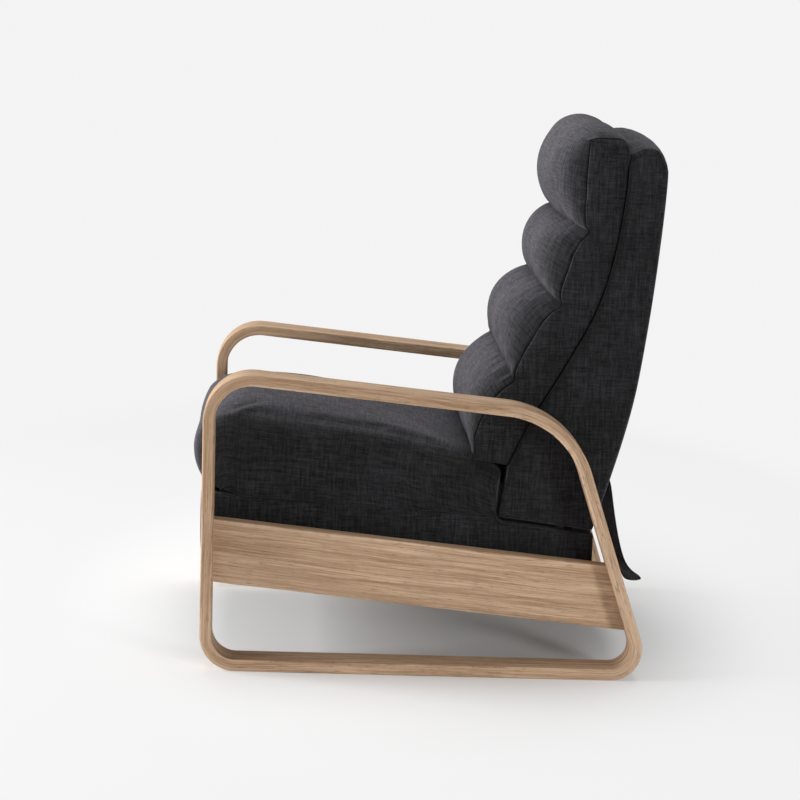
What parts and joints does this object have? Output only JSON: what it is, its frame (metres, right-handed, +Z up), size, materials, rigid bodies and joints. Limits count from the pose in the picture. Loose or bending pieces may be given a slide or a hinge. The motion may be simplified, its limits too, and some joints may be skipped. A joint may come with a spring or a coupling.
{
  "type": "mission reclining armchair",
  "caption": "Push-back reclining armchair with two bent oak loops as arms and legs, charcoal channelled cushions and a fold-out footrest",
  "frame": {"origin": "centre of the bounding box footprint, on the floor", "axes": "+X width towards the sitter's left, +Y towards the rear, +Z up"},
  "size_m": [0.7, 0.848, 1.0119],
  "materials": {
    "oak": "satin clear-coated pale oak",
    "frame_wood": "planed softwood",
    "upholstery": "slubbed linen weave",
    "webbing": "woven elastic",
    "nylon": "moulded",
    "zinc": "zinc plated",
    "black_steel": "black powder coat"
  },
  "bodies": {
    "base": {"loop_left": "oak", "loop_right": "oak", "side_rail_left": "oak", "side_rail_right": "oak", "front_stretcher": "frame_wood", "rear_stretcher": "frame_wood", "slide_channel_left": "zinc", "slide_channel_right": "zinc", "loop_bolts": "zinc", "channel_screws": "zinc"},
    "seat": {"seat_side_board_left": "frame_wood", "seat_side_board_right": "frame_wood", "seat_side_cover_left": "upholstery", "seat_side_cover_right": "upholstery", "seat_front_rail": "frame_wood", "seat_rear_rail": "frame_wood", "seat_tail_rail": "frame_wood", "seat_webbing": "webbing", "seat_cushion": "upholstery", "slide_runner_left": "zinc", "slide_runner_right": "zinc", "glide_blocks": "nylon", "mechanism_plate_left": "black_steel", "mechanism_plate_right": "black_steel", "plate_screws": "zinc", "drive_pins": "zinc"},
    "back": {"back_side_board_left": "frame_wood", "back_side_board_right": "frame_wood", "back_cover": "upholstery", "outer_back_panel": "frame_wood", "back_top_rail": "frame_wood", "back_middle_rail": "frame_wood", "back_bottom_rail": "frame_wood", "back_webbing": "webbing", "back_cushion": "upholstery", "hinge_bracket_left": "black_steel", "hinge_bracket_right": "black_steel", "hinge_screws": "zinc", "hinge_pins": "zinc", "rear_flap": "upholstery"},
    "front_links": {"front_link_left": "black_steel", "front_link_right": "black_steel"},
    "rear_links": {"rear_link_left": "black_steel", "rear_link_right": "black_steel", "drive_tube": "black_steel"},
    "long_links": {"long_link_left": "black_steel", "long_link_right": "black_steel", "long_link_pins": "zinc"},
    "cross_links": {"cross_link_left": "black_steel", "cross_link_right": "black_steel", "cross_link_pins": "zinc"},
    "control_links": {"control_link_left": "black_steel", "control_link_right": "black_steel", "control_link_pins": "zinc"},
    "footrest": {"footrest_bracket_left": "black_steel", "footrest_bracket_right": "black_steel", "footrest_pins": "zinc", "footrest_screws": "zinc", "footrest_board": "frame_wood", "footrest_pad": "upholstery"}
  },
  "joints": [
    {"name": "seat_slide", "type": "slide", "parent": "base", "child": "seat", "axis": [0, -0.9956, 0.0932], "range_m": [0, 0.08]},
    {"name": "back_recline", "type": "hinge", "parent": "seat", "child": "back", "pos_m": [0, 0.30138, 0.285], "axis": [-1, 0, 0], "range_deg": [0, 28]},
    {"name": "front_link_turn", "type": "hinge", "parent": "seat", "child": "front_links", "pos_m": [0, -0.20545, 0.27], "axis": [-1, 0, 0], "range_deg": [0, 18.01]},
    {"name": "rear_link_turn", "type": "hinge", "parent": "seat", "child": "rear_links", "pos_m": [0, -0.20545, 0.27], "axis": [-1, 0, 0], "range_deg": [0, 162.01]},
    {"name": "long_link_turn", "type": "hinge", "parent": "rear_links", "child": "long_links", "pos_m": [0, -0.05627, 0.25432], "axis": [1, 0, 0], "range_deg": [0, 144.01]},
    {"name": "cross_link_turn", "type": "hinge", "parent": "front_links", "child": "cross_links", "pos_m": [0, -0.35463, 0.25432], "axis": [-1, 0, 0], "range_deg": [0, 144.01]},
    {"name": "control_link_turn", "type": "hinge", "parent": "cross_links", "child": "control_links", "pos_m": [0, -0.18953, 0.23697], "axis": [1, 0, 0], "range_deg": [0, 146.25]},
    {"name": "footrest_turn", "type": "hinge", "parent": "long_links", "child": "footrest", "pos_m": [0, -0.35463, 0.22296], "axis": [-1, 0, 0], "range_deg": [0, 72.01]}
  ],
  "couplings": [
    {"joint": "front_link_turn", "follows": "seat_slide", "rad_per_m": 3.927},
    {"joint": "rear_link_turn", "follows": "seat_slide", "rad_per_m": 35.343},
    {"joint": "long_link_turn", "follows": "seat_slide", "rad_per_m": 31.416},
    {"joint": "cross_link_turn", "follows": "seat_slide", "rad_per_m": 31.416},
    {"joint": "control_link_turn", "follows": "seat_slide", "rad_per_m": 31.897},
    {"joint": "footrest_turn", "follows": "seat_slide", "rad_per_m": 15.708}
  ]
}
